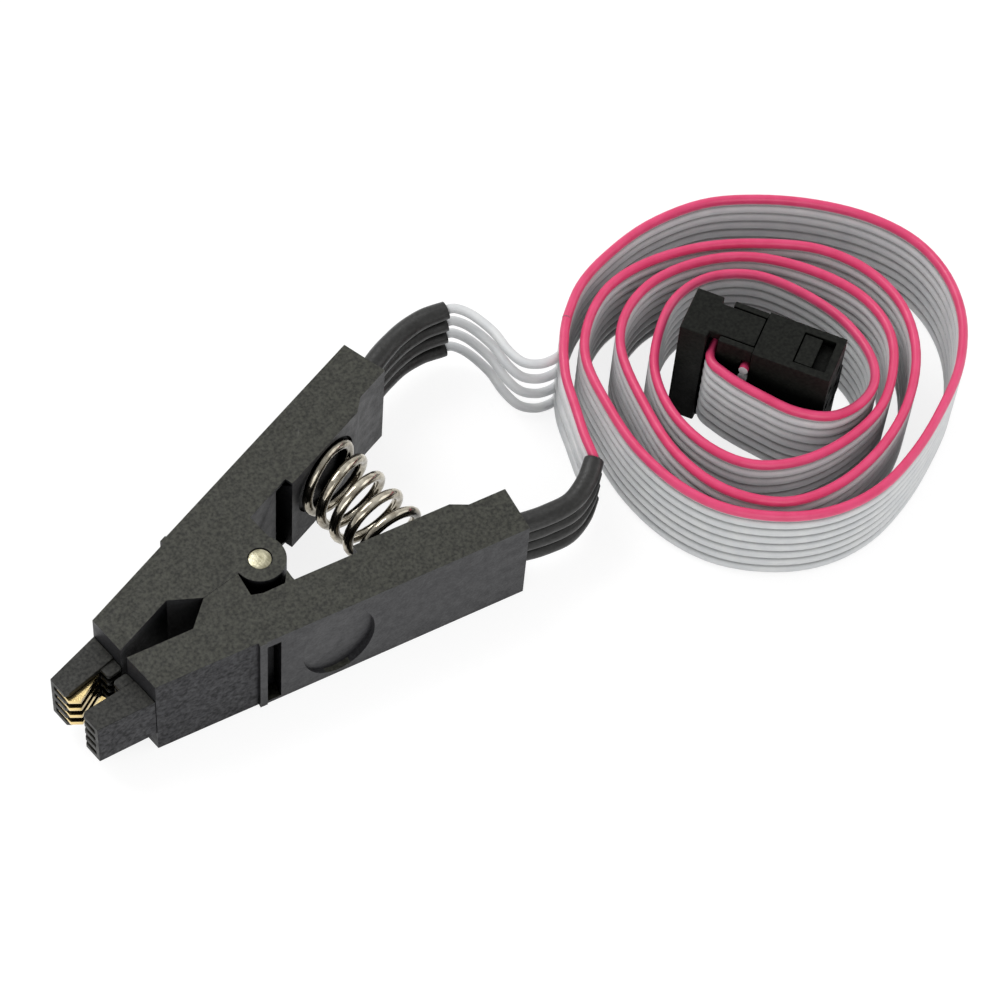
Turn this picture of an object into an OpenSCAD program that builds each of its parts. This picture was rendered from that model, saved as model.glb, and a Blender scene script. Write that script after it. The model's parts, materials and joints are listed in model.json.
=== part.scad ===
// Eight-lead test clip for a small surface-mount chip, with its flat cable and crimped socket.
// The clip lies on its side: the hinge pin stands along Z, and the jaws point along -X.

/* [Arms] */
// Distance from the pin to the back of each handle, along the arm
arm_reach = 23.1; // [21.5:0.1:25]
// Angle between each arm and the clip's centre plane
arm_angle = 12.9; // [12:0.1:13.6]
// Distance from the pin to the outer face of each arm
arm_offset = 8.03; // [7.8:0.05:8.5]
// Thickness of a handle at its back end
handle_t = 4.7; // [4.4:0.1:5]
// Thickness of an arm where the spring sits
seat_t = 5.5; // [5.3:0.1:6]
// Height of the clip, along the pin
jaw_h = 11; // [10.4:0.2:13]
// Distance from the pin to the front of the spring seat, along the arm
seat_front = 8.05; // [7.6:0.05:8.4]
// Distance from the pin to the back of the spring seat, along the arm
seat_back = 17.8; // [17:0.1:18.6]
// Length of the ramp behind the spring seat
ramp_l = 1.55; // [1:0.05:2.5]

/* [Nose] */
// Distance from the pin to the front face of the nose
nose_reach = 15.4; // [14.6:0.1:16.4]
// Half the width of the nose's front face
nose_half = 4.42; // [4.3:0.02:4.6]
// Gap from the centre plane to the inner edge of the nose
nose_gap = 0.46; // [0.3:0.02:0.6]
// How far the nose's outer face lies below the handle's
nose_inset = 0.26; // [0.1:0.02:0.4]
// Width of the grip rib behind the nose
rib_w = 0.72; // [0.5:0.02:1]
// Height of the grip rib above the handle's face
rib_h = 0.12; // [0.05:0.01:0.3]
// Width of the side slots
slot_w = 1.42; // [1:0.02:1.6]
// Depth of the outer slot
outer_slot_d = 1.5; // [0.8:0.1:1.7]
// Thickness of the wall that closes the outer slot at its top
slot_roof = 1; // [0.6:0.1:2]
// Thickness of the walls that close the slots at their other ends
slot_wall = 0.4; // [0.3:0.1:0.8]
// Depth of the inner slot
inner_slot_d = 1.2; // [0.6:0.1:1.5]
// Half the width of the kite-shaped window between the noses
window_half = 1.88; // [1.5:0.02:2.2]
// Distance from the pin to the back corner of the window
window_back = 6.43; // [6:0.05:7]
// Distance from the pin to the widest place of the window
window_wide = 9.13; // [8.6:0.05:9.8]

/* [Finger dish] */
// Width of the oval finger dish in the handle's outer face, along the arm
dish_w = 7.2; // [6:0.1:8]
// Height of the finger dish, along the pin
dish_h = 9.8; // [8:0.1:10]
// Depth of the finger dish at its middle
dish_d = 0.3; // [0.2:0.05:0.5]
// Tilt of the dish's floor, which goes deepest at the back and below
dish_tilt = 3; // [1:0.5:4]
// Distance from the pin to the dish's middle, along the arm
dish_at = 3.9; // [3.2:0.1:5]

/* [Hinge] */
// Diameter of the hinge pin
pin_d = 2.18; // [1.8:0.02:2.4]
// Diameter of the rounded hinge ears
ear_d = 4.8; // [4.4:0.1:5]
// Radial running clearance of the pin in the moving jaw
pin_gap = 0.04; // [0.02:0.01:0.08]
// Gap between neighbouring hinge ears, along the pin
ear_gap = 0.1; // [0.05:0.01:0.2]
// Gap between an ear and the pocket around it
pocket_gap = 0.14; // [0.1:0.01:0.25]
// Width of the web that carries an ear, behind the pin
web_back = 2.05; // [1.8:0.05:2.3]
// Gap between the two jaws along their meeting faces
stop_gap = 0.02; // [0.01:0.01:0.05]

/* [Spring] */
// Diameter of the spring's wire
wire_d = 1; // [0.8:0.05:1.05]
// Outer diameter of the spring
spring_od = 7.6; // [7:0.1:7.8]
// Distance from the pin to the spring's axis
spring_at = 12.2; // [12:0.1:12.6]
// How far the spring's axis lies above the middle of the clip's height
spring_rise = 0.9; // [0.5:0.05:0.95]
// Turns of the spring, with its closed ends
spring_turns = 5.75; // [5.25:0.25:6]
// Depth of the round seat that the spring's end lies in
seat_d = 0.4; // [0.2:0.05:0.6]
// Gap between the spring and the moving jaw's seat
spring_gap = 0.03; // [0.02:0.01:0.05]
// Radial gap between the spring and the rim of its seat
seat_gap = 0.2; // [0.15:0.05:0.3]

/* [Tip] */
// Distance from the pin to the very tip of the jaws
tip_reach = 21.05; // [20:0.05:22.5]
// Height of the tip, along the pin
tip_h = 5.7; // [5.5:0.1:6.4]
// Half the width of the closed tips at their front
tip_half = 3.36; // [3.2:0.02:3.5]
// Gap from the centre plane to the inner face of the tip, at its front
tip_gap = 1.1; // [1:0.02:1.3]
// Gap from the centre plane to the inner face of the tip, at its root
tip_root_gap = 1.5; // [1.4:0.02:1.7]
// Length of the spigot that holds the tip in the nose
spigot_l = 3; // [2:0.1:3.2]
// Length of the ribs between the jaws, behind the contacts
fin_l = 1.6; // [1:0.1:1.8]
// Gap between the centre plane and those ribs
fin_gap = 0.25; // [0.2:0.01:0.4]

/* [Contacts] */
// Spacing of the contacts and of the cable's wires
pitch = 1.27; // [1.27:0.01:1.3]
// Thickness of a contact blade
blade_t = 0.5; // [0.4:0.02:0.6]
// Width of a contact strip inside the arm
strip_w = 0.9; // [0.7:0.02:1]
// Gap on each side of a blade in its slot
blade_gap = 0.07; // [0.05:0.01:0.09]
// Length of the solder tails behind the handle
tail_l = 2.4; // [1.8:0.1:3]
// Spacing of the solder tails
tail_pitch = 1.62; // [1.5:0.02:1.75]
// Gap above and below the strips in the arm's channel
channel_gap = 0.3; // [0.2:0.05:0.4]

/* [Cable] */
// Thickness of the flat cable
ribbon_t = 0.9; // [0.8:0.05:1]
// Diameter of each loose lead
lead_d = 0.96; // [0.85:0.01:1.05]
// Height of the shrunk sleeves, which are pressed flat
sleeve_d = 1.62; // [1.5:0.02:1.62]
// Width of the shrunk sleeves
sleeve_w = 2.1; // [1.8:0.05:2.3]

/* [Socket] */
// Length of the socket from its strain relief to its mouth
socket_l = 14.8; // [14.2:0.1:16]
// Thickness of the socket
socket_t = 5.2; // [5.2:0.1:6.2]
// Width of the socket along its rows
socket_w = 14; // [13.8:0.1:15]
// Spacing of the socket's holes
hole_pitch = 2.54; // [2.5:0.01:2.58]
// Width of each square hole
hole_w = 0.9; // [0.7:0.02:1]
// Depth of the holes
hole_d = 5.5; // [4:0.1:6]
// Thickness of the strain relief's bar
relief_t = 2.7; // [2:0.1:3]
// Thickness of the cover over the wires
cover_t = 3.4; // [3:0.1:3.6]
// Gap between the strain relief and the cover, where the cable turns in
cable_gap = 1.1; // [1.1:0.05:1.3]
// Width of the latch pockets in the socket's ends
latch_w = 3.6; // [3:0.1:4]
// Length of the latch pockets
latch_l = 3.1; // [2.6:0.1:3.4]
// Depth of the latch pockets
latch_t = 1; // [0.8:0.05:1.2]
// Gap around each catch and beside each leg of the strain relief
latch_gap = 0.12; // [0.08:0.01:0.2]

/* [Hidden] */
$fn = 48;
rows = 4;

// Levels along the pin
mid_z = jaw_h / 2;
spring_z = mid_z + spring_rise;
ear_h = (jaw_h - 3 * ear_gap) / 4;
ear_step = ear_h + ear_gap;
tip_z = mid_z - tip_h / 2;

// Faces of an arm, measured square to it from the pin
inner_v = arm_offset - handle_t;
seat_v = arm_offset - seat_t;
strip_v = arm_offset - handle_t / 2 - 0.1;
strip_front = nose_reach / cos(arm_angle) - 1.6;

// The comb's spigot and slots, measured from the centre plane, and the height of the spigot
spigot_in = tip_root_gap - 0.2;
spigot_out = 3.9;
spigot_h = tip_h - 0.8;
slot_floor = 2.9;
strip_floor = arm_y(spigot_l - nose_reach, strip_v + strip_w / 2) + 0.1;
fin_step = 0.2;
tail_end = arm_reach + tail_l;
rib_u = -3.3;
pocket_r = ear_d / 2 + pocket_gap;

// The part's origin is under the middle of the clip, so everything is moved back by this much
tail_x = tail_end * cos(arm_angle) - (strip_v - strip_w / 2) * sin(arm_angle);
middle_x = (tail_x - tip_reach) / 2;

// A point u along the arm and v outwards from it
function arm_point(u, v) =
    [u * cos(arm_angle) - v * sin(arm_angle), u * sin(arm_angle) + v * cos(arm_angle)];
// Where a line that runs v outside the pin, along the arm, crosses a given x
function arm_y(x, v) = (v + x * sin(arm_angle)) / cos(arm_angle);

// Heights of the rows: contacts at the tip, tails at the back, and wires of the flat cable
function row_z(i) = mid_z + (1.5 - i) * pitch;
function tail_z(i) = mid_z + (1.5 - i) * tail_pitch;
ribbon_w = 2 * rows * pitch;
function wire_z(k) = ribbon_w - (k + 0.5) * pitch;
socket_lift = (socket_w - ribbon_w) / 2;

// Route of the flat cable's middle line on the surface, from the place where the loose leads
// join to the socket, and the height of its lower edge
ribbon_route = [
    [37.0, 0.5, 0], [39.5, 2.8, 0], [43.0, 4.8, 0], [47.2, 5.8, 0], [52.8, 6.0, 0],
    [58.6, 4.6, 0], [63.2, 1.6, 0], [67.2, -2.4, 0], [70.2, -7.0, 0], [71.6, -11.8, 0],
    [71.0, -16.6, 0], [68.6, -21.0, 0], [64.6, -24.6, 0], [59.8, -27.0, 0], [54.6, -28.8, 0],
    [49.4, -29.6, 0], [44.6, -28.8, 0], [40.4, -26.4, 0], [36.8, -22.4, 0], [35.0, -17.6, 0],
    [34.8, -12.0, 0], [36.0, -6.6, 0], [37.8, -1.8, 0], [40.8, 1.2, 0], [45.0, 3.0, 0],
    [49.8, 2.8, 0], [55.2, 0.8, 0], [60.0, -2.6, 0], [63.8, -6.6, 0], [65.6, -11.4, 0],
    [65.2, -16.4, 0], [62.4, -21.0, 0], [57.6, -24.6, 0], [51.8, -26.6, 0], [46.0, -26.8, 0],
    [41.2, -25.0, 0], [38.0, -20.6, 0], [37.2, -15.0, 0], [38.6, -9.0, 0], [41.0, -3.2, 0],
    [44.4, -0.2, 0], [49.0, 0.8, 0], [54.0, -0.4, 0], [58.2, -3.2, 0], [61.4, -7.8, 0],
    [63.0, -12.8, 0], [62.4, -17.2, 0], [59.8, -20.6, 0], [55.6, -23.2, 0], [50.6, -23.8, 0],
    [45.6, -22.8, 0], [41.8, -20.2, 0], [40.0, -16.2, 0], [40.0, -11.4, 0], [41.8, -7.0, 0],
    [45.0, -4.0, 0], [49.0, -2.0, 0], [53.2, -2.2, 0], [56.8, -4.8, 0], [58.8, -9.0, 0],
    [59.6, -13.8, 0.1], [58.8, -18.2, 0.3], [56.8, -21.0, 0.5], [53.8, -22.0, 0.7],
    [50.6, -21.4, 1], [48.2, -19.0, 1.3], [46.8, -15.8, 1.6], [46.0, -13.4, 1.8],
    [45.7, -11.9, 1.9], [45.6, -10.7, 1.9], [45.9, -9.9, 1.9], [46.7, -9.3, 1.9],
    [47.9, -8.7, 1.9]];

// Routes of the loose leads in plan, from the end of their sleeves to the flat cable, with the
// share of the way from the sleeve's height to the wire's height
lead_route_a = [[31.9, 11.2, 0], [32.7, 10.7, 0.05], [33.4, 9.2, 0.2], [33.7, 6.6, 0.4],
    [33.4, 4.2, 0.55], [33.6, 2.3, 0.7], [34.6, 1.3, 0.85], [36.0, 0.9, 0.95], [37.2, 0.9, 1],
    [37.8, 1.25, 1]];
lead_route_b = [[31.4, -10.1, 0], [32.4, -7.6, 0.25], [33.7, -4.9, 0.5], [35.0, -2.2, 0.8],
    [36.2, -0.5, 0.97], [37.0, 0.45, 1], [37.6, 1.05, 1]];
// Routes of the sleeves in plan, after they leave the arm
sleeve_route_a = [[24.0, 11.5, 0.25], [26.8, 12.0, 0.5], [29.4, 11.9, 0.8], [31.8, 11.2, 1]];
sleeve_route_b = [[24.0, -11.6, 0.25], [26.8, -12.1, 0.5], [29.3, -11.4, 0.8], [31.3, -10.2, 1]];
// Height of each sleeve's free end
sleeve_end_z = [8.6, 6.6, 4.6, 2.4];

// The socket's place on the surface, and its turn
socket_at = [46.9, -5.55];
socket_turn = -63.6;
socket_x = relief_t + cable_gap;
split_x = socket_x + cover_t;
cover_half = socket_t / 2 - 0.15;
leg_t = 1.1;
leg_half = cover_half - 0.75;
cable_play = 0.1;
mouth_wall = 0.8;
catch_l = 1.7;
key_w = 4;
key_t = 0.7;
key_from = split_x + 1.5;
cut_end = 0.5;

// Noses of the blades, each point as the distance in front of the housing's nose and the distance
// from the centre plane; the a blades reach the centre plane, and the b blades are the shorter
blade_nose_a = [[1, 1.75], [4.7, 0.22], [5.55, 0.9], [5.55, 2.6]];
blade_nose_b = [[2.5, 1.75], [3, 0.55], [5.3, 1.35], [5.3, 2.6]];
blade_heel = 5;
blade_root = 0.9;

jaw_grey = [0.17, 0.17, 0.18];
comb_grey = [0.2, 0.2, 0.21];
sleeve_black = [0.1, 0.1, 0.1];
gold = [0.83, 0.68, 0.33];
nickel = [0.8, 0.78, 0.7];
cable_grey = [0.68, 0.67, 0.68];

// ---- helpers ----

// Closed solid through rings of equal length
module skin(rings) {
    n = len(rings[0]);
    m = len(rings);
    points = [for (ring = rings) each ring];
    sides = [for (i = [0:m - 2], j = [0:n - 1])
        [i * n + j, i * n + (j + 1) % n, (i + 1) * n + (j + 1) % n, (i + 1) * n + j]];
    start = [[for (j = [n - 1:-1:0]) j]];
    end = [[for (j = [0:n - 1]) (m - 1) * n + j]];
    polyhedron(points, concat(start, sides, end), convexity = 10);
}

function unit(v) = v / norm(v);
// Direction of a route at its point i
function along(route, i) =
    unit(route[min(i + 1, len(route) - 1)] - route[max(i - 1, 0)]);

// Tube along a route of points in space, with its width in plan
module tube(route, d, width, sides = 8) {
    skin([for (i = [0:len(route) - 1])
        let (t = along(route, i), side = unit(cross([0, 0, 1], t)), up = cross(t, side))
        [for (j = [0:sides - 1])
            route[i] + (width / 2 * cos((j + 0.5) * 360 / sides) * side
                + d / 2 * sin((j + 0.5) * 360 / sides) * up) / cos(180 / sides)]]);
}

// Everything is drawn with the pin at the origin, then moved so that the origin is under the middle
module placed() {
    translate([-middle_x, 0, 0]) children();
}

// The b jaw is drawn as the a jaw on the other side of the centre plane
module on_side(side) {
    if (side == "a") children();
    else mirror([0, 1, 0]) children();
}

// ---- jaw housing ----

module arm_plan() {
    polygon([
        arm_point(arm_reach, arm_offset),
        arm_point(arm_reach, inner_v),
        arm_point(seat_back + ramp_l, inner_v),
        arm_point(seat_back, seat_v),
        arm_point(seat_front, seat_v),
        arm_point(seat_front, inner_v),
        [web_back, arm_y(web_back, inner_v)],
        [web_back, stop_gap / 2],
        [-window_back, stop_gap / 2],
        [-window_wide, window_half],
        [-nose_reach, nose_gap],
        [-nose_reach, nose_half],
        arm_point(rib_u - rib_w, arm_offset - nose_inset),
        arm_point(rib_u - rib_w, arm_offset + rib_h),
        arm_point(rib_u, arm_offset + rib_h),
        arm_point(rib_u, arm_offset)]);
}

// The angular pocket around the other jaw's ear, open behind the pin
module ear_pocket() {
    r = pocket_r;
    far = web_back + 0.1;
    polygon([
        [-r, -1],
        [-r, stop_gap / 2],
        [-1.19 * r, 0.96 * r],
        [-0.815 * r, 1.165 * r],
        [0.035 * r, 1.34 * r],
        [0.425 * r, 0.972 * r],
        [0.37 * r, arm_y(0.37 * r, inner_v)],
        [far, arm_y(far, inner_v)],
        [far, -1]]);
}

// Levels: a's ears are the second and the fourth from below, b's the first and the third
function ears(side) = side == "a" ? [1, 3] : [0, 2];

module jaw_housing(side) {
    other = side == "a" ? "b" : "a";
    bore = pin_d / 2 + (side == "a" ? pin_gap : 0);
    difference() {
        union() {
            linear_extrude(jaw_h) arm_plan();
            for (k = ears(side))
                translate([0, 0, k * ear_step]) cylinder(d = ear_d, h = ear_h);
        }
        for (k = ears(other))
            translate([0, 0, k * ear_step - ear_gap])
                linear_extrude(ear_h + 2 * ear_gap) ear_pocket();
        translate([0, 0, -1]) cylinder(r = bore, h = jaw_h + 2);
        outer_slot();
        inner_slot();
        finger_dish();
        spring_seat();
        strip_channel();
        spigot(1);
    }
}

// Blind slot behind the grip rib
module outer_slot() {
    rotate([0, 0, arm_angle])
        translate([rib_u, arm_offset - outer_slot_d, slot_wall])
            cube([slot_w, outer_slot_d + 1, jaw_h - slot_roof - slot_wall]);
}

// Blind slot in the inner face, up against the spring's pad
module inner_slot() {
    rotate([0, 0, arm_angle])
        translate([seat_front - slot_w, inner_v - 1, slot_wall])
            cube([slot_w, inner_slot_d + 1, jaw_h - 2 * slot_wall]);
}

// Oval pocket with a slanting floor, which runs out at the front and above
module finger_dish() {
    rotate([0, 0, arm_angle])
        translate([dish_at, arm_offset - dish_d, mid_z])
            rotate([90 - dish_tilt, 0, -dish_tilt]) mirror([0, 0, 1])
                linear_extrude(dish_d + 2)
                    polygon([for (i = [0:35])
                        [dish_w / 2 * cos(10 * i), dish_h / 2 * sin(10 * i)]]);
}

// Round seat sunk square into the pad
module spring_seat() {
    rotate([0, 0, arm_angle])
        translate([spring_at / cos(arm_angle) + seat_v * tan(arm_angle), seat_v + seat_d, spring_z])
            rotate([90, 0, 0])
                cylinder(d = spring_od / cos(arm_angle) + 2 * seat_gap, h = seat_d + 1);
}

// Straight channel from the nose to the back of the handle, with the contact strips in it
module strip_channel() {
    half = 1.5 * tail_pitch + blade_t / 2 + channel_gap;
    rotate([0, 0, arm_angle])
        translate([-strip_front, strip_v - strip_w / 2, mid_z - half])
            cube([strip_front + arm_reach + 1, strip_w, 2 * half]);
}

// Block that sits in the nose behind the tip, run on at the front by over
module spigot(over) {
    translate([-nose_reach - over, spigot_in, mid_z - spigot_h / 2])
        cube([spigot_l + over, spigot_out - spigot_in, spigot_h]);
}

// ---- contact comb, the narrower tip ----

module comb_plan() {
    polygon([
        [-nose_reach, tip_root_gap],
        [-tip_reach + 0.35, tip_gap],
        [-tip_reach, tip_gap + 0.3],
        [-tip_reach, tip_half],
        [-nose_reach, nose_half - 0.06]]);
}

// Round-nosed ribs that reach in between the two rows of contacts
module fin_plan() {
    nose_r = fin_l / 4;
    translate([-nose_reach - fin_l, fin_gap + nose_r])
        square([fin_l, tip_root_gap + nose_r - fin_gap]);
    hull() {
        translate([-nose_reach - fin_l + nose_r, fin_gap + nose_r]) circle(r = nose_r, $fn = 24);
        translate([-nose_reach - nose_r, fin_gap + nose_r]) circle(r = nose_r, $fn = 24);
    }
}

module contact_comb() {
    slot_h = blade_t + 2 * blade_gap;
    difference() {
        union() {
            translate([0, 0, tip_z]) linear_extrude(tip_h) comb_plan();
            translate([0, 0, tip_z + fin_step]) linear_extrude(tip_h - 2 * fin_step) fin_plan();
            spigot(0);
        }
        for (i = [0:rows - 1])
            translate([0, 0, row_z(i) - slot_h / 2]) {
                translate([-tip_reach - 1, 0, 0])
                    cube([tip_reach - nose_reach + 1.5, slot_floor, slot_h]);
                translate([-nose_reach, 0, 0]) cube([spigot_l + 1, strip_floor, slot_h]);
            }
    }
}

// ---- contacts ----

// Stamped blade in plan
module blade_plan(side) {
    root = -nose_reach + blade_root;
    polygon(concat(
        [[root, tip_root_gap + 0.6]],
        [for (p = side == "a" ? blade_nose_a : blade_nose_b) [-nose_reach - p[0], p[1]]],
        [[-nose_reach - blade_heel, slot_floor], [root, slot_floor]]));
}

module contact(side, i) {
    drop = row_z(i) - tail_z(i);
    run = strip_front + tail_end - 1.5;
    tilt = atan(drop / run);
    translate([0, 0, row_z(i) - blade_t / 2]) linear_extrude(blade_t) blade_plan(side);
    rotate([0, 0, arm_angle])
        translate([-strip_front, strip_v - strip_w / 2, row_z(i) - blade_t / 2])
            rotate([0, tilt, 0]) cube([run + 1.5, strip_w, blade_t]);
}

// ---- pin and spring ----

module hinge_pin() {
    color(nickel) placed() cylinder(d = pin_d, h = jaw_h);
}

// Steps in one turn of the spring, the turns of each closed end, and the place of the wire at step s
spring_steps = 20;
closed_turns = 0.5;
spring_r = (spring_od - wire_d) / 2;
spring_end = seat_v + seat_d - wire_d / 2;
function spring_angle(s) = 270 + 360 * s / spring_steps;
function spring_point(s) =
    let (angle = spring_angle(s),
        active = spring_turns - 2 * closed_turns,
        t = min(max((s / spring_steps - closed_turns) / active, 0), 1),
        x = spring_at + spring_r * cos(angle),
        reach = spring_end / cos(arm_angle) + x * tan(arm_angle),
        y = (reach - spring_gap) * (1 - t) - reach * t)
    [x, y, spring_z + spring_r * sin(angle)];

module spring() {
    last = round(spring_steps * spring_turns);
    color(nickel) placed()
        skin([for (s = [0:last])
            let (out = [cos(spring_angle(s)), 0, sin(spring_angle(s))],
                p = spring_point(s))
            [for (j = [7:-1:0])
                p + wire_d / 2 * (cos(j * 45 + 22.5) * out + sin(j * 45 + 22.5) * [0, 1, 0])]]);
}

// ---- sleeves, leads and cable ----

function sleeve_path(side, i) =
    let (sign = side == "a" ? 1 : -1,
        start = arm_point(arm_reach, strip_v),
        route = side == "a" ? sleeve_route_a : sleeve_route_b,
        z0 = tail_z(i),
        z1 = sleeve_end_z[i])
    concat(
        [[start.x, sign * start.y, z0]],
        [for (p = route) [p.x, p.y, z0 + (z1 - z0) * p[2]]]);

module sleeve(side, i) {
    color(sleeve_black) placed() tube(sleeve_path(side, i), sleeve_d, sleeve_w);
}

function lead_path(side, i) =
    let (route = side == "a" ? lead_route_a : lead_route_b,
        z0 = sleeve_end_z[i],
        z1 = wire_z(2 * i + (side == "a" ? 1 : 0)))
    [for (p = route) [p.x, p.y, z0 + (z1 - z0) * p[2]]];

module leads(side) {
    color(cable_grey) placed()
        for (i = [0:rows - 1]) tube(lead_path(side, i), lead_d, lead_d);
}

// Flat section with bevelled edges, standing on edge
module ribbon_cable() {
    last = len(ribbon_route) - 1;
    bevel = ribbon_t / 4;
    color(cable_grey) placed()
        skin([for (i = [0:last])
            let (p = ribbon_route[i],
                t = along([for (q = ribbon_route) [q.x, q.y]], i),
                side = [-t.y, t.x, 0] * ribbon_t / 2,
                up = [0, 0, 1])
            [p - side + bevel * up, p - side / 2, p + side / 2, p + side + bevel * up,
                p + side + (ribbon_w - bevel) * up, p + side / 2 + ribbon_w * up,
                p - side / 2 + ribbon_w * up, p - side + (ribbon_w - bevel) * up]]);
}

// ---- crimped socket, drawn from its strain relief at x = 0 to its mouth ----

module socket_placed() {
    placed() translate(socket_at) rotate([0, 0, socket_turn]) children();
}

module both_ends() {
    children();
    translate([0, 0, socket_w]) mirror([0, 0, 1]) children();
}

// The body with its key, its holes, and a pocket with a catch in each end
module socket_body() {
    color(jaw_grey) socket_placed() difference() {
        union() {
            translate([split_x, -socket_t / 2, 0])
                cube([socket_l - split_x, socket_t, socket_w]);
            translate([key_from, socket_t / 2, (socket_w - key_w) / 2])
                cube([socket_l - key_from, key_t, key_w]);
        }
        for (row = [-0.5, 0.5], i = [0:rows - 1])
            translate([socket_l - hole_d, row * hole_pitch - hole_w / 2,
                    socket_w / 2 + (i - 1.5) * hole_pitch - hole_w / 2])
                cube([hole_d + 1, hole_w, hole_w]);
        both_ends() latch_pocket();
    }
}

module latch_pocket() {
    translate([socket_l - mouth_wall - latch_l, 0, 0]) difference() {
        translate([0, -latch_w / 2, -1]) cube([latch_l, latch_w, latch_t + 1]);
        translate([latch_gap, latch_gap - latch_w / 2, latch_gap])
            cube([catch_l, latch_w - 2 * latch_gap, latch_t]);
    }
}

module socket_cover() {
    color(jaw_grey) socket_placed() difference() {
        translate([socket_x, -cover_half, 0]) cube([cover_t, 2 * cover_half, socket_w]);
        both_ends()
            translate([socket_x - 1, -leg_half - latch_gap, -1])
                cube([cover_t + 2, 2 * (leg_half + latch_gap), leg_t + 1]);
        translate([split_x - ribbon_t, -socket_t, socket_lift - cable_play])
            cube([ribbon_t + 1, 2 * socket_t, ribbon_w + 2 * cable_play]);
    }
}

// A bar over the cable, with a leg at each end that runs in a groove of the cover
module socket_strain_relief() {
    color(jaw_grey) socket_placed() union() {
        translate([0, -cover_half, 0]) cube([relief_t, 2 * cover_half, socket_w]);
        both_ends()
            translate([relief_t - 0.5, -leg_half, 0])
                cube([split_x - relief_t + 0.5 - cable_play, 2 * leg_half, leg_t]);
    }
}

// The cable's end, folded round the cover, led between cover and body, and cut off flush
module ribbon_fold() {
    core_l = cover_t - ribbon_t;
    color(cable_grey) socket_placed() translate([0, 0, socket_lift]) linear_extrude(ribbon_w)
        difference() {
            translate([socket_x, -socket_t]) offset(r = ribbon_t)
                square([core_l, socket_t + cover_half]);
            translate([socket_x, -2 * socket_t]) square([core_l, 2 * socket_t + cover_half]);
            translate([socket_x - 2, -3 * socket_t]) square([3, 3 * socket_t]);
            translate([socket_x, -3 * socket_t])
                square([cover_t, 3 * socket_t - cover_half - cut_end]);
        }
}

// Forked contacts deep in the holes
module socket_contacts() {
    color(gold) socket_placed()
        for (row = [-0.5, 0.5], i = [0:rows - 1])
            translate([socket_l - hole_d, row * hole_pitch - 0.15,
                    socket_w / 2 + (i - 1.5) * hole_pitch - hole_w / 2])
                cube([hole_d - 1, 0.3, hole_w / 3]);
}

module jaw_housing_a() { color(jaw_grey) placed() jaw_housing("a"); }
module jaw_housing_b() { color(jaw_grey) placed() on_side("b") jaw_housing("b"); }
module contact_comb_a() { color(comb_grey) placed() contact_comb(); }
module contact_comb_b() { color(comb_grey) placed() on_side("b") contact_comb(); }
module contact_of(side, i) { color(gold) placed() on_side(side) contact(side, i); }

jaw_housing_a();
jaw_housing_b();
contact_comb_a();
contact_comb_b();
contact_of("a", 0);  // contact_a_1
contact_of("a", 1);  // contact_a_2
contact_of("a", 2);  // contact_a_3
contact_of("a", 3);  // contact_a_4
contact_of("b", 0);  // contact_b_1
contact_of("b", 1);  // contact_b_2
contact_of("b", 2);  // contact_b_3
contact_of("b", 3);  // contact_b_4
hinge_pin();
spring();
sleeve("a", 0);  // sleeve_a_1
sleeve("a", 1);  // sleeve_a_2
sleeve("a", 2);  // sleeve_a_3
sleeve("a", 3);  // sleeve_a_4
sleeve("b", 0);  // sleeve_b_1
sleeve("b", 1);  // sleeve_b_2
sleeve("b", 2);  // sleeve_b_3
sleeve("b", 3);  // sleeve_b_4
leads("a");  // leads_a
leads("b");  // leads_b
ribbon_cable();
ribbon_fold();
socket_body();
socket_cover();
socket_strain_relief();
socket_contacts();
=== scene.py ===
"""Looks of the eight-lead test clip: finishes, rounded edges, spring, leads, flat cable and socket."""

import json
import math

import bmesh
import bpy
from mathutils import Matrix, Vector

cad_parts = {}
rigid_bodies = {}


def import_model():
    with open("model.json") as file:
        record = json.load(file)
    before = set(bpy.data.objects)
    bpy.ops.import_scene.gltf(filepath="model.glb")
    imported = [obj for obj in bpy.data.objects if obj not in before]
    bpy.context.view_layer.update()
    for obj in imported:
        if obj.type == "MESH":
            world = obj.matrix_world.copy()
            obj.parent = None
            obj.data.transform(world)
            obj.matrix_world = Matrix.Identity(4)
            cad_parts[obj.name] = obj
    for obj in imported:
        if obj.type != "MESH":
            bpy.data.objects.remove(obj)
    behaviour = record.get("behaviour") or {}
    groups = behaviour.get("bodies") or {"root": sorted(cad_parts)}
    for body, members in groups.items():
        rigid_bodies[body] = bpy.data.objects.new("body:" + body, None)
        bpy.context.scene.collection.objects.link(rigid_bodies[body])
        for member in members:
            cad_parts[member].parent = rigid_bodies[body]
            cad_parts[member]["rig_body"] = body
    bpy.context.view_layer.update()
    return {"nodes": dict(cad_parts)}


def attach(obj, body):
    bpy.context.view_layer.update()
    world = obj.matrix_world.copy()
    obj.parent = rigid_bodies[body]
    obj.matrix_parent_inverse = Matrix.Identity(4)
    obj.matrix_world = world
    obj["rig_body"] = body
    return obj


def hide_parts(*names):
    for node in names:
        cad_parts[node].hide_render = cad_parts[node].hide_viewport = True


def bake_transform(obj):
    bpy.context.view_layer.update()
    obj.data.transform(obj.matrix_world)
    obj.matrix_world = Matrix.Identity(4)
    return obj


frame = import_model()
MM = 0.001


# ---- sizes of the part's source, in millimetres, with places given from the hinge pin ----
MIDDLE_X = 1.3305
JAW_H = 11
MID_Z = JAW_H / 2
ARM_ANGLE = math.radians(12.9)
ARM_OFFSET = 8.03
ARM_REACH = 23.1
SEAT_T = 5.5
STRIP_V = 5.58
ROWS = 4
PITCH = 1.27
TAIL_PITCH = 1.62
RIBBON_W = 2 * ROWS * PITCH
WIRE_R = 0.46
SLEEVE_R = 0.8
SLEEVE_WIDE = 1.3
SOCKET_AT = (46.9, -5.55)
SOCKET_TURN = math.radians(-63.6)


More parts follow.
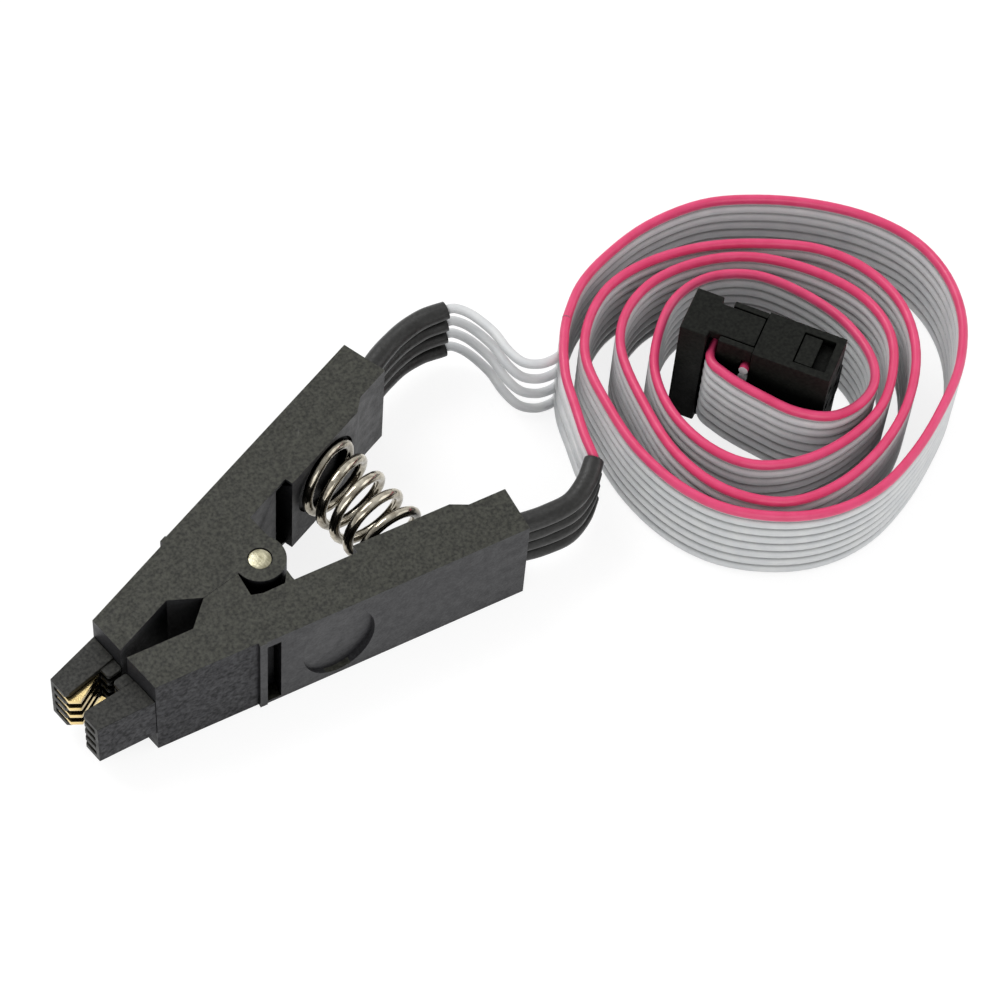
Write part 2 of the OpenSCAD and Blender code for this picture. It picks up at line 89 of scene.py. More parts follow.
def place(x, y, z):
    """A point given from the pin, in millimetres, as a point of the frame, in metres."""
    return Vector(((x - MIDDLE_X) * MM, y * MM, z * MM))


def arm_point(u, v):
    """A point u along arm a and v outwards from it, in plan."""
    c, s = math.cos(ARM_ANGLE), math.sin(ARM_ANGLE)
    return (u * c - v * s, u * s + v * c)


# ---- camera ----

def make_camera():
    """Camera that looks at the part from where the photograph was taken."""
    azimuth, elevation, roll = (math.radians(a) for a in (223.84, 57.5, 5.66))
    distance = 332.19 * MM
    target = place(23.38, -6.36, 5)
    back = Vector((math.cos(elevation) * math.cos(azimuth), math.cos(elevation) * math.sin(azimuth),
                   math.sin(elevation)))
    side = (-back).cross(Vector((0, 0, 1))).normalized()
    rise = side.cross(-back)
    right = math.cos(roll) * side + math.sin(roll) * rise
    up = -math.sin(roll) * side + math.cos(roll) * rise
    data = bpy.data.cameras.new("camera")
    data.lens = 129.4
    data.sensor_width = 36
    data.clip_start = 0.01
    data.clip_end = 10
    camera = bpy.data.objects.new("camera", data)
    bpy.context.scene.collection.objects.link(camera)
    turn = Matrix((right, up, back)).transposed().to_4x4()
    camera.matrix_world = Matrix.Translation(target + back * distance) @ turn
    bpy.context.scene.camera = camera


make_camera()


# ---- meshes ----
SAME_POINT = 0.002
SAME_PLANE = math.radians(0.6)
SHARP_EDGE = math.radians(30)


def mesh_object(name, verts, faces, materials, indices=None, smooth=True):
    """A new object; indices say which of its materials each face has."""
    mesh = bpy.data.meshes.new(name)
    mesh.from_pydata([tuple(v) for v in verts], [], faces)
    for m in materials:
        mesh.materials.append(m)
    if indices is not None:
        mesh.polygons.foreach_set("material_index", indices)
    mesh.polygons.foreach_set("use_smooth", [smooth] * len(faces))
    mesh.update()
    obj = bpy.data.objects.new(name, mesh)
    bpy.context.scene.collection.objects.link(obj)
    return obj


def smooth_path(points, steps):
    """Catmull-Rom curve through the points, with so many steps between neighbours."""
    p = [Vector(q) for q in points]
    out = []
    for i in range(len(p) - 1):
        a, b, c, d = p[max(i - 1, 0)], p[i], p[i + 1], p[min(i + 2, len(p) - 1)]
        for k in range(steps):
            t = k / steps
            out.append(0.5 * (2 * b + (c - a) * t + (2 * a - 5 * b + 4 * c - d) * t * t
                              + (3 * b - a - 3 * c + d) * t ** 3))
    out.append(p[-1])
    return out


def tangents(path):
    """Direction of a path at each of its points."""
    last = len(path) - 1
    return [(path[min(i + 1, last)] - path[max(i - 1, 0)]).normalized() for i in range(last + 1)]


def skin(rings):
    """Vertices and faces of the closed surface through rings of equal length."""
    n = len(rings[0])
    verts = [p for ring in rings for p in ring]
    faces = []
    for i in range(len(rings) - 1):
        for j in range(n):
            k = (j + 1) % n
            faces.append((i * n + j, i * n + k, (i + 1) * n + k, (i + 1) * n + j))
    faces.append(tuple(range(n - 1, -1, -1)))
    faces.append(tuple(range((len(rings) - 1) * n, len(rings) * n)))
    return verts, faces


def round_rings(path, radius, sides=16, wide=1.0):
    """Rings round a path of points in metres, so much wider than high in plan.

    The radius is a function of the point's number, in millimetres.
    """
    along = tangents(path)
    side = along[0].cross(Vector((0, 0, 1))).normalized()
    rings = []
    for i, (p, t) in enumerate(zip(path, along)):
        side = (side - side.dot(t) * t).normalized()
        up = t.cross(side)
        r = radius(i) * MM
        rings.append([p + r * (wide * math.cos(a) * side + math.sin(a) * up)
                      for a in (2 * math.pi * j / sides for j in range(sides))])
    return rings


def rounded_copy(node, width, materials, pick=None):
    """A copy of a CAD node with its sharp edges rounded, as a moulded or stamped piece has them.

    The width of the rounding is in millimetres. Pick tells a face's material from its centre and normal.
    """
    source = frame["nodes"][node]
    bm = bmesh.new()
    bm.from_mesh(source.data)
    bmesh.ops.remove_doubles(bm, verts=bm.verts, dist=SAME_POINT * MM)
    bmesh.ops.dissolve_limit(bm, angle_limit=SAME_PLANE, verts=bm.verts, edges=bm.edges)
    mesh = bpy.data.meshes.new(node + "_piece")
    bm.to_mesh(mesh)
    bm.free()
    mesh.materials.clear()
    for m in materials:
        mesh.materials.append(m)
    mesh.polygons.foreach_set("use_smooth", [True] * len(mesh.polygons))
    if pick:
        mesh.polygons.foreach_set("material_index", [pick(p.center, p.normal) for p in mesh.polygons])
    obj = bpy.data.objects.new(node + "_piece", mesh)
    bpy.context.scene.collection.objects.link(obj)
    bevel = obj.modifiers.new("bevel", "BEVEL")
    bevel.width = width * MM
    bevel.segments = 2
    bevel.limit_method = "ANGLE"
    bevel.angle_limit = SHARP_EDGE
    bevel.use_clamp_overlap = True
    bevel.miter_outer = "MITER_ARC"
    flat = obj.modifiers.new("flat faces", "WEIGHTED_NORMAL")
    flat.keep_sharp = True
    bpy.context.view_layer.update()
    done = bpy.data.meshes.new_from_object(obj.evaluated_get(bpy.context.evaluated_depsgraph_get()))
    obj.modifiers.clear()
    obj.data = done
    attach(obj, source["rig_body"])
    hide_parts(node)
    return obj


# ---- materials ----
PLAIN_GLOSS = 0.5


class Graph:
    """Short ways to add and join the nodes of one node tree."""

    def __init__(self, tree):
        self.tree = tree

    def node(self, kind, **settings):
        node = self.tree.nodes.new(kind)
        for key, value in settings.items():
            setattr(node, key, value)
        return node

    def link(self, output, target):
        self.tree.links.new(output, target)

    def remap(self, factor, old, new=(0, 1), kind="LINEAR"):
        """Maps the span old of a factor to the span new, and holds it at that span's ends."""
        node = self.node("ShaderNodeMapRange", interpolation_type=kind)
        for key, value in zip(("From Min", "From Max", "To Min", "To Max"), (*old, *new)):
            node.inputs[key].default_value = value
        self.link(factor, node.inputs["Value"])
        return node.outputs["Result"]


class Finish(Graph):
    """A material whose shader's inputs are fed by small chains of nodes."""

    def __init__(self, name, color, roughness, metallic=0.0):
        self.material = bpy.data.materials.new(name)
        self.material.use_nodes = True
        super().__init__(self.material.node_tree)
        self.shader = self.tree.nodes["Principled BSDF"]
        self.shader.inputs["Base Color"].default_value = (*color, 1)
        self.shader.inputs["Roughness"].default_value = roughness
        self.shader.inputs["Metallic"].default_value = metallic
        self.height = None

    def coordinates(self):
        """Object coordinates, in metres."""
        return self.node("ShaderNodeTexCoord").outputs["Object"]

    def noise(self, size, detail=2.0, stretch=None):
        """Noise with features of about size millimetres, its coordinates scaled by stretch if given."""
        where = self.coordinates()
        if stretch:
            mapping = self.node("ShaderNodeMapping")
            mapping.inputs["Scale"].default_value = stretch
            self.link(where, mapping.inputs["Vector"])
            where = mapping.outputs["Vector"]
        noise = self.node("ShaderNodeTexNoise")
        noise.inputs["Scale"].default_value = 1 / (size * MM)
        noise.inputs["Detail"].default_value = detail
        self.link(where, noise.inputs["Vector"])
        return noise.outputs["Fac"]

    def spread(self, factor, low, high, half=0.2):
        """Maps a factor's stretch of half to each side of its middle to low..high."""
        return self.remap(factor, (0.5 - half, 0.5 + half), (low, high))

    def mix(self, share, one, two):
        """Colour between one and two, each a plain colour or an output of a node."""
        mix = self.node("ShaderNodeMix", data_type="RGBA")
        self.link(share, mix.inputs[0])
        for socket, color in ((mix.inputs[6], one), (mix.inputs[7], two)):
            if isinstance(color, tuple):
                socket.default_value = (*color, 1)
            else:
                self.link(color, socket)
        return mix.outputs[2]

    def vary_color(self, factor, one, two, half=0.2):
        self.link(self.mix(self.spread(factor, 0, 1, half), one, two), self.shader.inputs["Base Color"])

    def vary_roughness(self, factor, low, high):
        self.link(self.spread(factor, low, high), self.shader.inputs["Roughness"])

    def paint_recess_shade(self, reach, low, closed=0.35, clear=0.85, gloss=None):
        """Paints shade into colour and gloss: takes them down to low where walls within reach millimetres
        close a place in.

        Closed and clear are the open shares of its surroundings at which that is full and at which it ends.
        """
        color = self.shader.inputs["Base Color"]
        hidden = self.node("ShaderNodeAmbientOcclusion", samples=6)
        hidden.inputs["Distance"].default_value = reach * MM
        share = self.remap(hidden.outputs["AO"], (closed, clear), (low, 1))
        self.link(self.mix(share, (0, 0, 0), color.links[0].from_socket), color)
        level = self.node("ShaderNodeMath", operation="MULTIPLY")
        level.inputs[1].default_value = PLAIN_GLOSS
        self.link(share, level.inputs[0])
        if gloss:
            self.link(gloss, level.inputs[1])
        self.link(level.outputs[0], self.shader.inputs["Specular IOR Level"])

    def ring_mark(self, center, radius, edge, depth):
        """Low round mark, such as an ejector pin leaves, about a place in plan, all in millimetres."""
        flat = self.node("ShaderNodeVectorMath", operation="MULTIPLY")
        flat.inputs[1].default_value = (1, 1, 0)
        self.link(self.coordinates(), flat.inputs[0])
        away = self.node("ShaderNodeVectorMath", operation="DISTANCE")
        away.inputs[1].default_value = (*place(*center, 0).xy, 0)
        self.link(flat.outputs[0], away.inputs[0])
        rim = (radius * MM, (radius + edge) * MM)
        self.bump(self.remap(away.outputs["Value"], rim, kind="SMOOTHSTEP"), depth)

    def bump(self, factor, depth):
        """Adds relief whose full height is about depth millimetres."""
        bump = self.node("ShaderNodeBump")
        bump.inputs["Strength"].default_value = 1
        bump.inputs["Distance"].default_value = depth * MM
        self.link(factor, bump.inputs["Height"])
        if self.height:
            self.link(self.height, bump.inputs["Normal"])
        self.height = bump.outputs["Normal"]
        self.link(self.height, self.shader.inputs["Normal"])


def moulded(name, dark, light, grain, relief, rough=(0.42, 0.58), mark=None, gloss=PLAIN_GLOSS,
            pitted=0.2, half=0.17):
    """Black moulded plastic: grain in colour, gloss and relief, faint clouds of gloss, painted shade in
    recesses.
    """
    f = Finish(name, dark, 0.5)
    speckle = f.noise(grain, 5)
    f.vary_color(speckle, dark, light, half)
    f.vary_roughness(f.noise(1.1, 3), *rough)
    f.bump(speckle, relief)
    if mark:
        f.ring_mark(**mark)
    speckled_gloss = f.spread(speckle, gloss * (1 - pitted), gloss * (1 + pitted), half)
    f.paint_recess_shade(reach=8, low=0.02, closed=0.22, clear=0.55, gloss=speckled_gloss)
    return f.material


def metal(name, one, two, rough, grain, relief, stretch=None, patches=1.3, shade=None):
    """Bare or plated metal: patches of two tones, clouds of gloss, a fine grain and painted shade in
    recesses.
    """
    f = Finish(name, one, 0.3, 1.0)
    f.vary_color(f.noise(patches, 3, stretch), one, two)
    f.vary_roughness(f.noise(0.6, 3), *rough)
    f.bump(f.noise(grain, 2, stretch), relief)
    f.paint_recess_shade(**(shade or {"reach": 2, "low": 0.3}))
    return f.material


def insulation(name, one, two):
    """Soft cable insulation, satin, with slight dirt and extrusion waviness, and painted shade in its
    grooves.
    """
    f = Finish(name, one, 0.4)
    f.vary_color(f.noise(1.6, 4), one, two)
    f.vary_roughness(f.noise(1.0, 3), 0.3, 0.42)
    f.bump(f.noise(0.35, 2), 0.012)
    f.paint_recess_shade(reach=0.6, low=0.12, closed=0.4, clear=0.9)
    return f.material


EJECTOR_MARK = {"center": (10.67, 8.55), "radius": 0.62, "edge": 0.16, "depth": 0.05}

# The housing's side and top faces take two tinted copies of one plastic, and their tints are painted light:
# a bluish cast on the sides and a warm one on the tops.
handle_side_painted_light = moulded("handle_side_painted_light", dark=(0.010, 0.010, 0.0115), light=(0.022, 0.022, 0.025),
                      grain=0.25, relief=0.016, rough=(0.42, 0.56), gloss=0.39, pitted=0.12)
handle_top_painted_light = moulded("handle_top_painted_light", dark=(0.009, 0.009, 0.006), light=(0.034, 0.035, 0.023),
                     grain=0.3, relief=0.03, rough=(0.5, 0.62), mark=EJECTOR_MARK)
grip_plastic = moulded("grip_plastic", dark=(0.005, 0.005, 0.006), light=(0.025, 0.025, 0.029),
                       grain=0.4, relief=0.05, rough=(0.5, 0.65), gloss=0.27, pitted=0.4, half=0.15)
comb_plastic = moulded("comb_plastic", dark=(0.007, 0.007, 0.006), light=(0.024, 0.024, 0.019),
                       grain=0.3, relief=0.02, gloss=0.4)
socket_plastic = moulded("socket_plastic", dark=(0.003, 0.0034, 0.0026), light=(0.010, 0.011, 0.0085),
                         grain=0.3, relief=0.012, gloss=0.15, pitted=0.1)
sleeve_plastic = moulded("sleeve_plastic", dark=(0.01, 0.01, 0.009), light=(0.018, 0.018, 0.017),
                         grain=0.35, relief=0.03, rough=(0.3, 0.46), pitted=0.05)
grey_insulation = insulation("grey_insulation", (0.63, 0.645, 0.66), (0.71, 0.72, 0.72))
pink_insulation = insulation("pink_insulation", (0.7, 0.046, 0.15), (0.77, 0.066, 0.19))
# The nickel's shade settings paint deep, nearly black shade on the spring's inner sides.
nickel = metal("nickel", (0.3, 0.26, 0.2), (0.74, 0.69, 0.57), rough=(0.08, 0.18), grain=0.3, relief=0.004,
               patches=0.7, shade={"reach": 3, "low": 0.03, "closed": 0.45, "clear": 1.0})
pin_nickel = metal("pin_nickel", (0.3, 0.28, 0.18), (0.64, 0.61, 0.45), rough=(0.3, 0.42),
                   grain=0.16, relief=0.02, stretch=(3, 1, 1), patches=0.7)
gold = metal("gold", (0.84, 0.62, 0.26), (0.96, 0.78, 0.4), rough=(0.16, 0.28), grain=0.2, relief=0.003)

# ---- flat cable ----
# The route of the part's source: plan position and height of the lower edge, from the pin.
RIBBON_ROUTE = [
    (37.0, 0.5, 0), (39.5, 2.8, 0), (43.0, 4.8, 0), (47.2, 5.8, 0), (52.8, 6.0, 0),
    (58.6, 4.6, 0), (63.2, 1.6, 0), (67.2, -2.4, 0), (70.2, -7.0, 0), (71.6, -11.8, 0),
    (71.0, -16.6, 0), (68.6, -21.0, 0), (64.6, -24.6, 0), (59.8, -27.0, 0), (54.6, -28.8, 0),
    (49.4, -29.6, 0), (44.6, -28.8, 0), (40.4, -26.4, 0), (36.8, -22.4, 0), (35.0, -17.6, 0),
    (34.8, -12.0, 0), (36.0, -6.6, 0), (37.8, -1.8, 0), (40.8, 1.2, 0), (45.0, 3.0, 0),
    (49.8, 2.8, 0), (55.2, 0.8, 0), (60.0, -2.6, 0), (63.8, -6.6, 0), (65.6, -11.4, 0),
    (65.2, -16.4, 0), (62.4, -21.0, 0), (57.6, -24.6, 0), (51.8, -26.6, 0), (46.0, -26.8, 0),
    (41.2, -25.0, 0), (38.0, -20.6, 0), (37.2, -15.0, 0), (38.6, -9.0, 0), (41.0, -3.2, 0),
    (44.4, -0.2, 0), (49.0, 0.8, 0), (54.0, -0.4, 0), (58.2, -3.2, 0), (61.4, -7.8, 0),
    (63.0, -12.8, 0), (62.4, -17.2, 0), (59.8, -20.6, 0), (55.6, -23.2, 0), (50.6, -23.8, 0),
    (45.6, -22.8, 0), (41.8, -20.2, 0), (40.0, -16.2, 0), (40.0, -11.4, 0), (41.8, -7.0, 0),
    (45.0, -4.0, 0), (49.0, -2.0, 0), (53.2, -2.2, 0), (56.8, -4.8, 0), (58.8, -9.0, 0),
    (59.6, -13.8, 0.1), (58.8, -18.2, 0.3), (56.8, -21.0, 0.5), (53.8, -22.0, 0.7),
    (50.6, -21.4, 1), (48.2, -19.0, 1.3), (46.8, -15.8, 1.6), (46.0, -13.4, 1.8),
    (45.7, -11.9, 1.9), (45.6, -10.7, 1.9), (45.9, -9.9, 1.9), (46.7, -9.3, 1.9),
    (47.9, -8.7, 1.9)]
LOBE_R = 0.45
LOBE_H = 0.53
WEB = 0.14
LOBE_STEPS = 8
CROWN = [math.radians(degrees) for degrees in (80, 90, 100)]
ROUTE_STEPS = 5


def ribbon_section():
    """Outline of the flat cable in (across, height) pairs: a bead for each wire, joined by thin webs."""
    turn = math.acos(WEB / LOBE_R)
    arc = [turn * (2 * k / LOBE_STEPS - 1) for k in range(LOBE_STEPS + 1)]
    right = [(LOBE_R * math.cos(a), (w + 0.5) * PITCH + LOBE_H * math.sin(a))
             for w in range(2 * ROWS) for a in arc]
    top = [(LOBE_R * math.cos(a), RIBBON_W - PITCH / 2 + LOBE_H * math.sin(a)) for a in CROWN]
    left = [(-x, z) for x, z in reversed(right)]
    bottom = [(-LOBE_R * math.cos(a), PITCH / 2 - LOBE_H * math.sin(a)) for a in CROWN]
    return right + top + left + bottom


def make_ribbon(path, name):
    """Flat cable on edge along a path of points of its lower edge, its uppermost wire pink."""
    section = ribbon_section()
    rings = []
    for p, t in zip(path, tangents(path)):
        side = Vector((-t.y, t.x, 0)).normalized()
        rings.append([p + side * (x * MM) + Vector((0, 0, z * MM)) for x, z in section])
    verts, faces = skin(rings)
    split = RIBBON_W - PITCH
    n = len(section)
    heights = [z for _, z in section]
    indices = []
    for face in faces:
        middle = sum(heights[v % n] for v in face) / len(face)
        indices.append(1 if len(face) == 4 and middle > split else 0)
    obj = mesh_object(name, verts, faces, [grey_insulation, pink_insulation], indices)
    obj.data.set_sharp_from_angle(angle=math.radians(50))
    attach(obj, "jaw_b")
    return obj


# The cable starts at the route's second point, and the leads run on over the first stretch.
ribbon_path = smooth_path([place(*p) for p in RIBBON_ROUTE[1:]], ROUTE_STEPS)
ribbon = make_ribbon(ribbon_path, "flat_cable")
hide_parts("ribbon_cable")

# ---- sleeves and leads ----
LEAD_ROUTE = {
    "a": [(31.9, 11.2, 0), (32.7, 10.7, 0.05), (33.4, 9.2, 0.2), (33.7, 6.6, 0.4),
          (33.4, 4.2, 0.55), (33.6, 2.3, 0.7), (34.6, 1.2, 0.85), (35.8, 0.75, 0.95), (36.9, 0.7, 1),
          (37.6, 1.05, 1), (38.5, 1.95, 1), (39.7, 2.93, 1)],
    "b": [(31.4, -10.1, 0), (32.4, -7.6, 0.25), (33.7, -4.9, 0.5), (35.0, -2.2, 0.8),
          (36.2, -0.5, 0.97), (37.0, 0.45, 1), (37.6, 1.05, 1), (38.5, 1.95, 1), (39.7, 2.93, 1)]}
SLEEVE_ROUTE = {
    "a": [(24.0, 11.5, 0.25), (26.8, 12.0, 0.5), (29.4, 11.9, 0.8), (31.8, 11.2, 1)],
    "b": [(24.0, -11.6, 0.25), (26.8, -12.1, 0.5), (29.3, -11.4, 0.8), (31.3, -10.2, 1)]}
SLEEVE_END_Z = [8.6, 6.6, 4.6, 2.4]
SLEEVE_TAPER = 0.1
# Size of each lump against the sleeve's radius, and its waves over the sleeve's length in radians
SLEEVE_LUMPS = [(0.016, 9), (0.008, 23)]
# Shrinkage and depth of the rings that make the cut lip and the look inside
SLEEVE_LIP = [(0.97, 0.04), (0.86, 0.05), (0.76, 0.0), (0.72, -0.8)]
LEAD_STEPS = 8
LEAD_INSIDE = 1.0


def wire_z(k):
    """Height of the middle of the cable's wire k, counted from the top."""
    return RIBBON_W - (k + 0.5) * PITCH


def sleeve_points(side, i):
    """Route of a sleeve, in millimetres, from the back of its handle."""
    sign = 1 if side == "a" else -1
    x, y = arm_point(ARM_REACH, STRIP_V)
    low, high = MID_Z + ((ROWS - 1) / 2 - i) * TAIL_PITCH, SLEEVE_END_Z[i]
    return [(x, sign * y, low)] + [(p[0], p[1], low + (high - low) * p[2]) for p in SLEEVE_ROUTE[side]]


def lead_points(side, i):
    """Route of a lead, in millimetres, from the end of its sleeve into the flat cable."""
    low, high = SLEEVE_END_Z[i], wire_z(2 * i + (side == "a"))
    return [(p[0], p[1], low + (high - low) * p[2]) for p in LEAD_ROUTE[side]]


def make_sleeve(side, i):
    """Shrunk tube with slight lumps over the joint, a thin cut lip and a short look inside."""
    path = smooth_path([place(*p) for p in sleeve_points(side, i)], LEAD_STEPS)
    last = len(path) - 1
    phase = 1.7 * i + (0.9 if side == "a" else 0)

    def radius(k):
        t = k / last
        lumps = sum(size * math.sin(waves * t + n * phase)
                    for n, (size, waves) in enumerate(SLEEVE_LUMPS, 1))
        return SLEEVE_R * (1 - SLEEVE_TAPER * t * t + lumps)

    rings = round_rings(path, radius, 20, SLEEVE_WIDE)
    end, back = path[-1], (path[-1] - path[-3]).normalized()
    outer = rings[-1]
    for shrink, depth in SLEEVE_LIP:
        rings.append([end + (p - end) * shrink + back * (depth * MM) for p in outer])
    verts, faces = skin(rings)
    obj = mesh_object(f"sleeve_{side}_{i + 1}_piece", verts, faces, [sleeve_plastic])
    obj.data.set_sharp_from_angle(angle=math.radians(60))
    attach(obj, "jaw_" + side)
    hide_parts(f"sleeve_{side}_{i + 1}")
    return obj


def make_leads(side):
    """The four loose wires of one jaw, each starting inside its sleeve."""
    verts, faces, indices = [], [], []
    for i in range(ROWS):
        points = [place(*p) for p in lead_points(side, i)]
        sleeve = [place(*p) for p in sleeve_points(side, i)]
        inner = points[0] + (sleeve[-1] - sleeve[-2]).normalized() * (-LEAD_INSIDE * MM)
        path = smooth_path([inner] + points, LEAD_STEPS)
        v, f = skin(round_rings(path, lambda k: WIRE_R, 14))
        faces += [tuple(n + len(verts) for n in face) for face in f]
        verts += v
        indices += [1 if side == "b" and i == 0 else 0] * len(f)
    obj = mesh_object(f"leads_{side}_piece", verts, faces, [grey_insulation, pink_insulation], indices)
    obj.data.set_sharp_from_angle(angle=math.radians(60))
    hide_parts("leads_" + side)
    return obj


sleeves = [make_sleeve(side, i) for side in "ab" for i in range(ROWS)]
leads_a = make_leads("a")
leads_b = make_leads("b")
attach(leads_b, "jaw_b")
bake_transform(leads_a)

# ---- the cable's end in the socket ----
RELIEF_T = 2.7
CABLE_GAP = 1.1
COVER_T = 3.4
COVER_HALF = 2.45
CUT_END = 0.5
SOCKET_LIFT = 1.92


def socket_point(x, y):
    """A point of the cable's lower edge, x along the socket from its back and y across it."""
    c, s = math.cos(SOCKET_TURN), math.sin(SOCKET_TURN)
    return place(SOCKET_AT[0] + x * c - y * s, SOCKET_AT[1] + x * s + y * c, SOCKET_LIFT)


def make_fold():
    """Flat cable led round the crimp cover, between cover and body, and cut off past its side."""
    near, far = RELIEF_T + CABLE_GAP, RELIEF_T + CABLE_GAP + COVER_T - 2 * LOBE_R
    path = [socket_point(near - LOBE_R, 0)]
    for x, start in ((near, 180), (far, 90)):
        for turn in (math.radians(start - step) for step in range(0, 91, 15)):
            path.append(socket_point(x + LOBE_R * math.cos(turn), COVER_HALF + LOBE_R * math.sin(turn)))
    path.append(socket_point(far + LOBE_R, -COVER_HALF - CUT_END))
    obj = make_ribbon(path, "cable_fold")
    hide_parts("ribbon_fold")
    return obj


ribbon_fold = make_fold()

# ---- socket ----
SOCKET_EDGE = 0.12
RELIEF_EDGE = 0.15
SOCKET_CONTACT_EDGE = 0.03

socket_body = rounded_copy("socket_body", SOCKET_EDGE, [socket_plastic])
socket_cover = rounded_copy("socket_cover", SOCKET_EDGE, [socket_plastic])
socket_relief = rounded_copy("socket_strain_relief", RELIEF_EDGE, [socket_plastic])
socket_contacts = rounded_copy("socket_contacts", SOCKET_CONTACT_EDGE, [gold])

# ---- jaws ----
HOUSING_EDGE = 0.12
COMB_EDGE = 0.07
BLADE_EDGE = 0.04
NOSE_X = -5.8
SQUARE_ON = 0.9


def faces_out(normal, side):
    """Whether a face looks straight away from the clip's centre plane."""
    return (normal.y if side == "a" else -normal.y) > SQUARE_ON


def housing_finish(center, normal, side):
    """0 for the side faces, 1 for the top and bottom faces, whose two tints are painted light, 2 for the
    rough outer face of the nose.
    """
    if abs(normal.z) > SQUARE_ON:
        return 1
    return 2 if faces_out(normal, side) and center.x < place(NOSE_X, 0, 0).x else 0


def comb_finish(center, normal, side):
    """1 for the comb's outer face, which is as rough as the nose's, and 0 for the rest."""
    return 1 if faces_out(normal, side) else 0


def make_jaw(side):
    """Housing, comb and contact blades of one jaw."""
    rounded_copy("jaw_housing_" + side, HOUSING_EDGE, [handle_side_painted_light, handle_top_painted_light, grip_plastic],
                 pick=lambda center, normal: housing_finish(center, normal, side))
    rounded_copy("contact_comb_" + side, COMB_EDGE, [comb_plastic, grip_plastic],
                 pick=lambda center, normal: comb_finish(center, normal, side))
    for i in range(ROWS):
        rounded_copy(f"contact_{side}_{i + 1}", BLADE_EDGE, [gold])


make_jaw("a")
make_jaw("b")

# ---- spring ----
WIRE_D = 1.0
SPRING_OD = 7.6
SPRING_R = (SPRING_OD - WIRE_D) / 2
SPRING_AT = 12.2
SPRING_Z = MID_Z + 0.9
SPRING_TURNS = 5.75
SPRING_START = 270
SPRING_GAP = 0.03
CLOSED_TURNS = 0.5
SEAT_D = 0.4
SEAT = ARM_OFFSET - SEAT_T + SEAT_D - WIRE_D / 2


def spring_points(steps=28):
    """Middle line of the wire, from the seat in jaw a to the seat in jaw b."""
    points = []
    for s in range(round(steps * SPRING_TURNS) + 1):
        t = min(max((s / steps - CLOSED_TURNS) / (SPRING_TURNS - 2 * CLOSED_TURNS), 0), 1)
        angle = math.radians(SPRING_START + 360 * s / steps)
        x = SPRING_AT + SPRING_R * math.cos(angle)
        reach = SEAT / math.cos(ARM_ANGLE) + x * math.tan(ARM_ANGLE)
        y = (reach - SPRING_GAP) * (1 - t) - reach * t
        points.append(place(x, y, SPRING_Z + SPRING_R * math.sin(angle)))
    return points


def make_spring():
    verts, faces = skin(round_rings(spring_points(), lambda k: WIRE_D / 2, 16))
    spring = mesh_object("coil_spring", verts, faces, [nickel])
    spring.data.set_sharp_from_angle(angle=math.radians(60))
    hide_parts("spring")
    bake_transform(spring)


make_spring()

# ---- hinge pin ----
PIN_R = 1.09
# Radius, and depth from the jaws' nearest face, along the foot and along the faintly domed head
PIN_FOOT = [(0.02, 0.03), (0.95, 0.03), (1.06, 0.1), (PIN_R, 0.2)]
PIN_HEAD = [(PIN_R, 0.22), (1.05, 0.1), (0.95, 0.05), (0.5, 0.025), (0.02, 0.02)]


def lathe(name, profile, material, steps=64):
    """Turned piece about the pin's axis, from (radius, height) pairs in millimetres."""
    turns = [2 * math.pi * k / steps for k in range(steps)]
    rings = [[place(r * math.cos(a), r * math.sin(a), z) for a in turns] for r, z in profile]
    verts, faces = skin(rings)
    return mesh_object(name, verts, faces, [material])


def make_pin():
    pin = lathe("pivot_pin", PIN_FOOT + [(r, JAW_H - z) for r, z in PIN_HEAD], pin_nickel)
    pin.data.set_sharp_from_angle(angle=math.radians(40))
    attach(pin, "jaw_b")
    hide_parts("hinge_pin")


make_pin()


# ---- floor and light ----
FLOOR_HALF = 3.0
FLOOR_DROP = 0.04
FLOOR_WHITE = (0.72, 0.72, 0.72)
# What the camera and reflections see of the floor: a weak grey that takes the shadow, and an even glow
SHADOW_GREY = (0.25, 0.25, 0.25, 1)
FLOOR_GLOW = 0.83

# The world's light by direction, weakest from the clip's near side and strongest from behind it
STRONGEST_FROM = (0.5, 0.866, 0)
WORLD_LIGHT = (0.4, 0.84)

LAMP_TARGET = Vector((0.02, -0.006, 0))


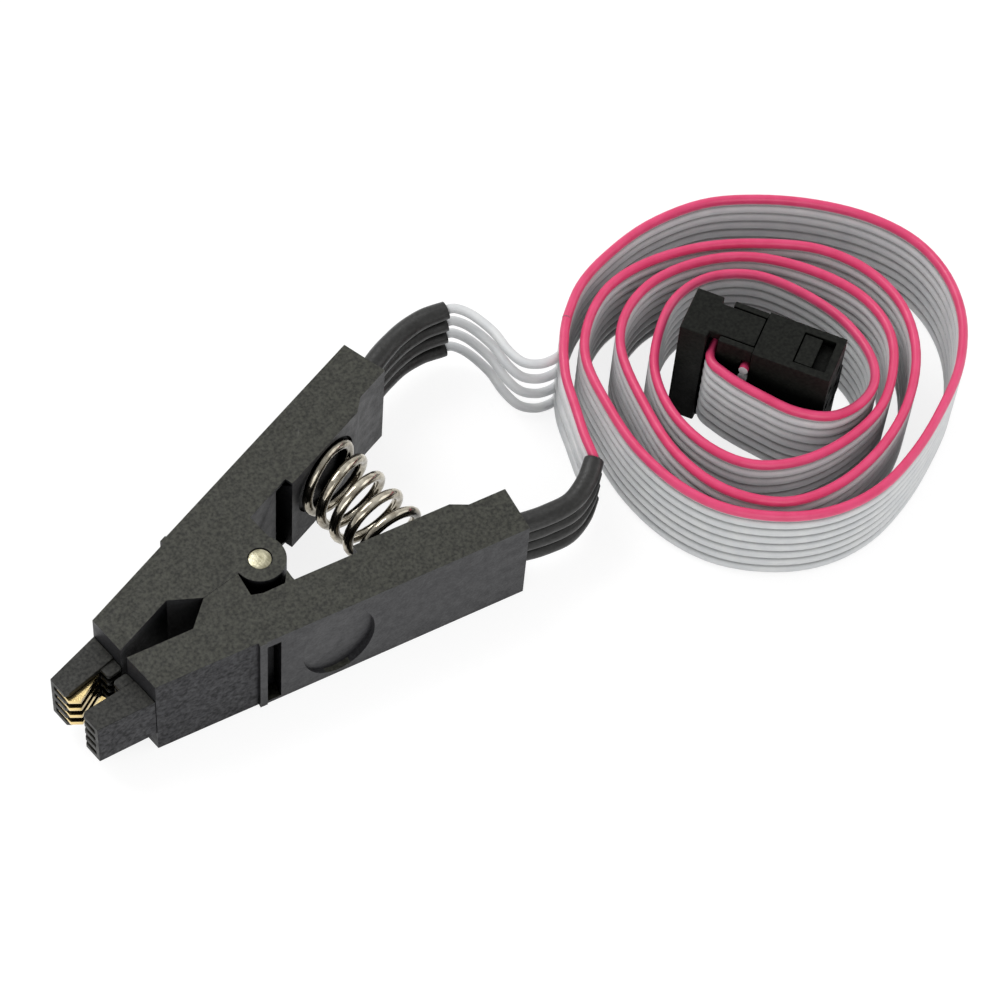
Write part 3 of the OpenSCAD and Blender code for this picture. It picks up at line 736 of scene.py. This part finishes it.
def make_floor():
    """Floor that is pale to the light, and that the camera and reflections see as white with a shadow."""
    h = FLOOR_HALF
    floor = mesh_object("floor", [(-h, -h, 0), (h, -h, 0), (h, h, 0), (-h, h, 0)],
                        [(0, 1, 2, 3)], [], smooth=False)
    floor.location.z = -FLOOR_DROP * MM
    f = Finish("floor_white", FLOOR_WHITE, 0.6)
    rays = f.node("ShaderNodeLightPath")
    seen = f.node("ShaderNodeMath", operation="MAXIMUM")
    f.link(rays.outputs["Is Camera Ray"], seen.inputs[0])
    f.link(rays.outputs["Is Glossy Ray"], seen.inputs[1])
    both = f.node("ShaderNodeMath", operation="MAXIMUM")
    f.link(seen.outputs[0], both.inputs[0])
    f.link(rays.outputs["Is Transmission Ray"], both.inputs[1])
    grey = f.node("ShaderNodeBsdfDiffuse")
    grey.inputs["Color"].default_value = SHADOW_GREY
    glow = f.node("ShaderNodeEmission")
    glow.inputs["Strength"].default_value = FLOOR_GLOW
    lit = f.node("ShaderNodeAddShader")
    f.link(grey.outputs[0], lit.inputs[0])
    f.link(glow.outputs[0], lit.inputs[1])
    mix = f.node("ShaderNodeMixShader")
    f.link(both.outputs[0], mix.inputs[0])
    f.link(f.shader.outputs[0], mix.inputs[1])
    f.link(lit.outputs[0], mix.inputs[2])
    f.link(mix.outputs[0], f.tree.nodes["Material Output"].inputs["Surface"])
    floor.data.materials.append(f.material)


def make_world():
    """World that looks even and pale to the camera, with light that grows towards one side."""
    world = bpy.data.worlds.new("studio")
    bpy.context.scene.world = world
    world.use_nodes = True
    w = Graph(world.node_tree)
    light = w.tree.nodes["Background"]
    light.inputs["Color"].default_value = (1, 1, 1, 1)
    where = w.node("ShaderNodeTexCoord")
    behind = w.node("ShaderNodeVectorMath", operation="DOT_PRODUCT")
    behind.inputs[1].default_value = STRONGEST_FROM
    w.link(where.outputs["Generated"], behind.inputs[0])
    w.link(w.remap(behind.outputs["Value"], (-1, 1), WORLD_LIGHT), light.inputs["Strength"])
    seen = w.node("ShaderNodeBackground")
    seen.inputs["Strength"].default_value = 1.0
    rays = w.node("ShaderNodeLightPath")
    mix = w.node("ShaderNodeMixShader")
    w.link(rays.outputs["Is Camera Ray"], mix.inputs[0])
    w.link(light.outputs[0], mix.inputs[1])
    w.link(seen.outputs[0], mix.inputs[2])
    w.link(mix.outputs[0], w.tree.nodes["World Output"].inputs["Surface"])


def make_lamp(name, position, size, power):
    """Square lamp that faces the clip, all in metres and watts."""
    data = bpy.data.lights.new(name, "AREA")
    data.shape = "SQUARE"
    data.size = size
    data.energy = power
    lamp = bpy.data.objects.new(name, data)
    bpy.context.scene.collection.objects.link(lamp)
    lamp.location = position
    lamp.rotation_euler = (LAMP_TARGET - Vector(position)).to_track_quat("-Z", "Y").to_euler()


make_floor()
make_world()
make_lamp("key", position=(-0.08, 0.45, 0.66), size=0.4, power=2.4)
make_lamp("fill", position=(0.63, -0.36, 0.34), size=0.5, power=0.8)
make_lamp("front", position=(-0.3, -0.5, 0.3), size=0.5, power=1.4)
bpy.context.scene.view_settings.view_transform = "Standard"
